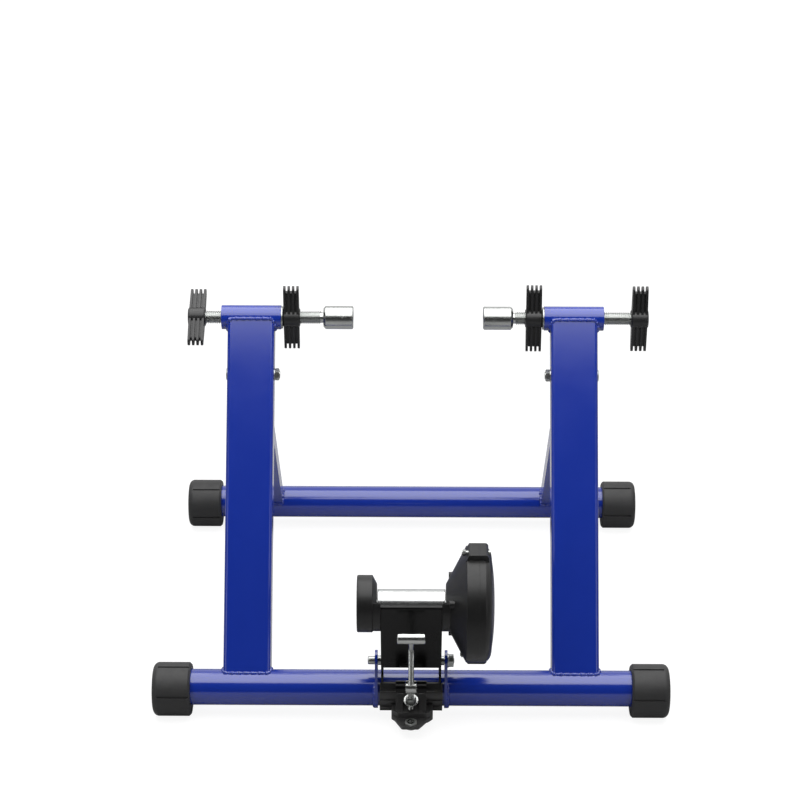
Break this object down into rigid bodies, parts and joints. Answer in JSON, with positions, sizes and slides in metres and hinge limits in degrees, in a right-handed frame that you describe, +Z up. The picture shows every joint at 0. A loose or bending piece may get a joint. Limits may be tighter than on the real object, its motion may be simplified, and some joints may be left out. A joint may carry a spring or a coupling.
{
  "type": "turbo trainer",
  "caption": "Folding steel frame that clamps a bicycle's rear axle between screw cups and presses a braked roller on the tyre.",
  "frame": {"origin": "on the floor in the middle of the width and of the depth, with the trainer standing open", "axes": "+X to the right seen from behind (drum side), +Y forwards (the way the bicycle faces), +Z up"},
  "size_m": [0.545, 0.5418, 0.3985],
  "materials": {
    "blue_paint": "gloss blue paint",
    "cap_rubber": "matt dark grey rubber",
    "zinc_steel": "bright zinc plated steel",
    "knob_plastic": "satin black plastic",
    "black_paint": "satin black paint",
    "housing_plastic": "satin black plastic",
    "roller_steel": "turned bright steel",
    "dark_iron": "dark turned iron",
    "rotor_aluminium": "turned aluminium",
    "bearing_steel": "ground steel",
    "magnet_grey": "nickel plated",
    "bush_nylon": "black nylon"
  },
  "bodies": {
    "frame": {"rear_base_tube": "blue_paint", "rear_left_cap": "cap_rubber", "rear_right_cap": "cap_rubber", "left_upright": "blue_paint", "right_upright": "blue_paint", "left_axle_sleeve": "blue_paint", "right_axle_sleeve": "blue_paint", "left_thread_inserts": "zinc_steel", "right_thread_inserts": "zinc_steel", "fold_bolts": "zinc_steel", "fold_washers": "zinc_steel", "fold_nuts": "zinc_steel", "fold_bushes": "bush_nylon", "unit_ears": "blue_paint", "pivot_bolt": "zinc_steel", "pivot_nut": "zinc_steel", "thrust_seat": "black_paint", "seat_bolt": "zinc_steel", "seat_nut": "zinc_steel"},
    "front_leg": {"front_base_tube": "blue_paint", "front_left_cap": "cap_rubber", "front_right_cap": "cap_rubber", "left_leg": "blue_paint", "right_leg": "blue_paint", "fold_pivot_tubes": "zinc_steel"},
    "unit": {"carrier": "black_paint", "arm_screws": "zinc_steel", "pivot_tube": "zinc_steel", "left_housing": "housing_plastic", "left_cover": "housing_plastic", "drum_back": "housing_plastic", "drum_cover": "housing_plastic", "drum_screws": "zinc_steel", "drum_nuts": "zinc_steel", "bearing_outer_rings": "bearing_steel", "bearing_seals": "bush_nylon", "magnet_plate": "dark_iron", "magnets": "magnet_grey"},
    "roller_group": {"roller": "roller_steel", "roller_shaft": "roller_steel", "bearing_inner_rings": "bearing_steel", "flywheel": "dark_iron", "rotor": "rotor_aluminium", "shaft_nut": "zinc_steel"},
    "trunnion_body": {"trunnion": "zinc_steel"},
    "limit_washer_body": {"limit_washer": "zinc_steel"},
    "tension_screw_body": {"tension_screw": "zinc_steel", "tension_handle": "zinc_steel", "stop_nut": "zinc_steel"},
    "left_cup_body": {"left_cup": "zinc_steel"},
    "left_rod_body": {"left_clamp_rod": "zinc_steel", "left_outer_knob": "knob_plastic"},
    "left_lock_washer_body": {"left_lock_washer": "zinc_steel"},
    "left_lock_knob_body": {"left_lock_knob": "knob_plastic"},
    "right_cup_body": {"right_cup": "zinc_steel"},
    "right_rod_body": {"right_clamp_rod": "zinc_steel", "right_outer_knob": "knob_plastic"},
    "right_lock_washer_body": {"right_lock_washer": "zinc_steel"},
    "right_lock_knob_body": {"right_lock_knob": "knob_plastic"}
  },
  "joints": [
    {"name": "front_leg_fold", "type": "hinge", "parent": "frame", "child": "front_leg", "pos_m": [0, 0.01133, 0.31021], "axis": [1, 0, 0], "range_deg": [-64, 0]},
    {"name": "unit_tilt", "type": "hinge", "parent": "frame", "child": "unit", "pos_m": [0, -0.18058, 0.07], "axis": [1, 0, 0], "range_deg": [-4, 13]},
    {"name": "roller_spin", "type": "hinge", "parent": "unit", "child": "roller_group", "pos_m": [0, -0.21162, 0.15767], "axis": [1, 0, 0], "continuous": true},
    {"name": "trunnion_pivot", "type": "hinge", "parent": "unit", "child": "trunnion_body", "pos_m": [0, -0.21858, 0.0616], "axis": [1, 0, 0], "range_deg": [-4, 1.5]},
    {"name": "screw_travel", "type": "slide", "parent": "trunnion_body", "child": "limit_washer_body", "axis": [0, -0.3598, 0.933], "range_m": [-0.0022, 0.007]},
    {"name": "screw_turn", "type": "hinge", "parent": "limit_washer_body", "child": "tension_screw_body", "pos_m": [0, -0.21858, 0.0616], "axis": [0, -0.3598, 0.933], "range_deg": [-770, 2460]},
    {"name": "left_cup_slide", "type": "slide", "parent": "frame", "child": "left_cup_body", "axis": [1, 0, 0], "range_m": [-0.02, 0.017]},
    {"name": "left_rod_turn", "type": "hinge", "parent": "left_cup_body", "child": "left_rod_body", "pos_m": [0, 0.04542, 0.362], "axis": [1, 0, 0], "range_deg": [-3610, 3070]},
    {"name": "left_lock_slide", "type": "slide", "parent": "frame", "child": "left_lock_washer_body", "axis": [1, 0, 0], "range_m": [0, 0.004]},
    {"name": "left_lock_turn", "type": "hinge", "parent": "left_lock_washer_body", "child": "left_lock_knob_body", "pos_m": [0, 0.04542, 0.362], "axis": [1, 0, 0], "range_deg": [0, 730]},
    {"name": "right_cup_slide", "type": "slide", "parent": "frame", "child": "right_cup_body", "axis": [-1, 0, 0], "range_m": [-0.0085, 0.029]},
    {"name": "right_rod_turn", "type": "hinge", "parent": "right_cup_body", "child": "right_rod_body", "pos_m": [0, 0.04542, 0.362], "axis": [-1, 0, 0], "range_deg": [-1540, 5230]},
    {"name": "right_lock_slide", "type": "slide", "parent": "frame", "child": "right_lock_washer_body", "axis": [-1, 0, 0], "range_m": [0, 0.004]},
    {"name": "right_lock_turn", "type": "hinge", "parent": "right_lock_washer_body", "child": "right_lock_knob_body", "pos_m": [0, 0.04542, 0.362], "axis": [-1, 0, 0], "range_deg": [0, 730]}
  ],
  "couplings": [
    {"joint": "trunnion_pivot", "follows": "unit_tilt", "ratio": -0.25},
    {"joint": "screw_travel", "follows": "unit_tilt", "m_per_rad": 0.03},
    {"joint": "screw_turn", "follows": "unit_tilt", "ratio": 188.5},
    {"joint": "left_rod_turn", "follows": "left_cup_slide", "rad_per_m": 3141.6},
    {"joint": "left_lock_turn", "follows": "left_lock_slide", "rad_per_m": 3141.6},
    {"joint": "right_rod_turn", "follows": "right_cup_slide", "rad_per_m": 3141.6},
    {"joint": "right_lock_turn", "follows": "right_lock_slide", "rad_per_m": 3141.6}
  ]
}
